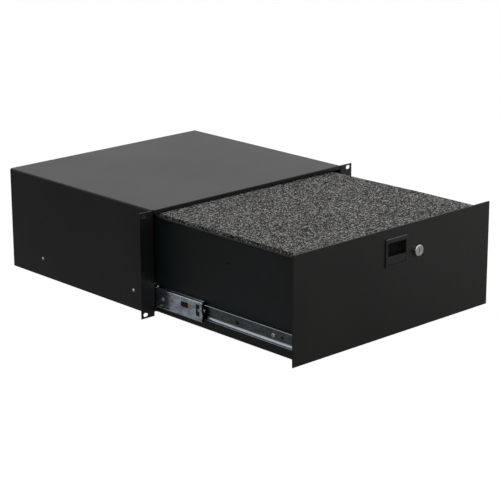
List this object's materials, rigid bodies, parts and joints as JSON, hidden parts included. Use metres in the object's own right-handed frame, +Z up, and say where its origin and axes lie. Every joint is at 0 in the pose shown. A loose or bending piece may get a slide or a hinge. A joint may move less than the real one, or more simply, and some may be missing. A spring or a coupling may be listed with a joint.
{
  "type": "rack drawer",
  "caption": "Lockable rack drawer: a steel case with rack ears, a foam-filled drawer on telescopic ball slides, a flush paddle latch and a key lock.",
  "frame": {"origin": "centre of the four rack slots, on the rear face of the ears that bears on the rack's rails", "axes": "+X to the right seen from the front, -Y out of the front along the drawer's travel, +Z up"},
  "size_m": [0.4826, 0.7209, 0.177],
  "materials": {
    "case_black": "satin powder coat",
    "drawer_black": "satin powder coat",
    "panel_black": "satin powder coat",
    "slide_zinc": "bright zinc plate",
    "ball_steel": "polished",
    "leaf_brass": "satin",
    "bumper_plastic": "matte",
    "latch_plastic": "satin",
    "foam_grey": "open-cell foam",
    "lock_chrome": "polished",
    "rivet_steel": "plain",
    "fitting_steel": "zinc plate"
  },
  "bodies": {
    "case": {"case_shell": "case_black", "case_base": "case_black", "case_back": "case_black", "slide_rivets": "rivet_steel", "outer_member_left": "slide_zinc", "outer_member_right": "slide_zinc", "rear_bumper_left": "bumper_plastic", "rear_bumper_right": "bumper_plastic"},
    "drawer": {"drawer_side_left": "drawer_black", "drawer_side_right": "drawer_black", "drawer_bottom": "drawer_black", "drawer_back": "drawer_black", "front_panel": "panel_black", "panel_nuts": "fitting_steel", "foam_block": "foam_grey", "inner_member_left": "slide_zinc", "inner_member_right": "slide_zinc", "inner_screws": "fitting_steel", "latch_housing": "latch_plastic", "latch_cover": "fitting_steel", "latch_cover_screws": "fitting_steel", "paddle_pin": "fitting_steel", "latch_spring": "fitting_steel", "lock_body": "lock_chrome", "lock_nut": "fitting_steel"},
    "middle_left": {"middle_member_left": "slide_zinc", "middle_bumper_left": "bumper_plastic", "detent_leaf_left": "leaf_brass"},
    "outer_cage_left": {"outer_cage_left": "slide_zinc", "outer_balls_left": "ball_steel"},
    "inner_cage_left": {"inner_cage_left": "slide_zinc", "inner_balls_left": "ball_steel"},
    "middle_right": {"middle_member_right": "slide_zinc", "middle_bumper_right": "bumper_plastic", "detent_leaf_right": "leaf_brass"},
    "outer_cage_right": {"outer_cage_right": "slide_zinc", "outer_balls_right": "ball_steel"},
    "inner_cage_right": {"inner_cage_right": "slide_zinc", "inner_balls_right": "ball_steel"},
    "paddle": {"paddle": "latch_plastic"},
    "latch_bolt": {"latch_bolt": "fitting_steel"},
    "lock": {"lock_plug": "lock_chrome", "lock_cam": "fitting_steel", "cam_screw": "fitting_steel"}
  },
  "joints": [
    {"name": "drawer_slide", "type": "slide", "parent": "case", "child": "drawer", "axis": [0, -1, 0], "range_m": [-0.3265, 0.027]},
    {"name": "middle_left_slide", "type": "slide", "parent": "case", "child": "middle_left", "axis": [0, -1, 0], "range_m": [-0.16325, 0.0135]},
    {"name": "outer_cage_left_slide", "type": "slide", "parent": "case", "child": "outer_cage_left", "axis": [0, -1, 0], "range_m": [-0.08163, 0.00675]},
    {"name": "inner_cage_left_slide", "type": "slide", "parent": "case", "child": "inner_cage_left", "axis": [0, -1, 0], "range_m": [-0.24488, 0.02025]},
    {"name": "middle_right_slide", "type": "slide", "parent": "case", "child": "middle_right", "axis": [0, -1, 0], "range_m": [-0.16325, 0.0135]},
    {"name": "outer_cage_right_slide", "type": "slide", "parent": "case", "child": "outer_cage_right", "axis": [0, -1, 0], "range_m": [-0.08163, 0.00675]},
    {"name": "inner_cage_right_slide", "type": "slide", "parent": "case", "child": "inner_cage_right", "axis": [0, -1, 0], "range_m": [-0.24488, 0.02025]},
    {"name": "paddle_press", "type": "hinge", "parent": "drawer", "child": "paddle", "pos_m": [0, -0.3291, 0.0385], "axis": [-1, 0, 0], "range_deg": [0, 20]},
    {"name": "bolt_slide", "type": "slide", "parent": "drawer", "child": "latch_bolt", "axis": [0, 0, -1], "range_m": [0, 0.004], "stiffness_N_per_m": 600, "springref_m": -0.004, "deforming": ["latch_spring"]},
    {"name": "lock_turn", "type": "hinge", "parent": "drawer", "child": "lock", "pos_m": [0.0478, -0.3261, 0.0408], "axis": [0, -1, 0], "range_deg": [0, 90]}
  ],
  "couplings": [
    {"joint": "middle_left_slide", "follows": "drawer_slide", "ratio": 0.5},
    {"joint": "outer_cage_left_slide", "follows": "drawer_slide", "ratio": 0.25},
    {"joint": "inner_cage_left_slide", "follows": "drawer_slide", "ratio": 0.75},
    {"joint": "middle_right_slide", "follows": "drawer_slide", "ratio": 0.5},
    {"joint": "outer_cage_right_slide", "follows": "drawer_slide", "ratio": 0.25},
    {"joint": "inner_cage_right_slide", "follows": "drawer_slide", "ratio": 0.75},
    {"joint": "paddle_press", "follows": "bolt_slide", "rad_per_m": 87.2}
  ]
}
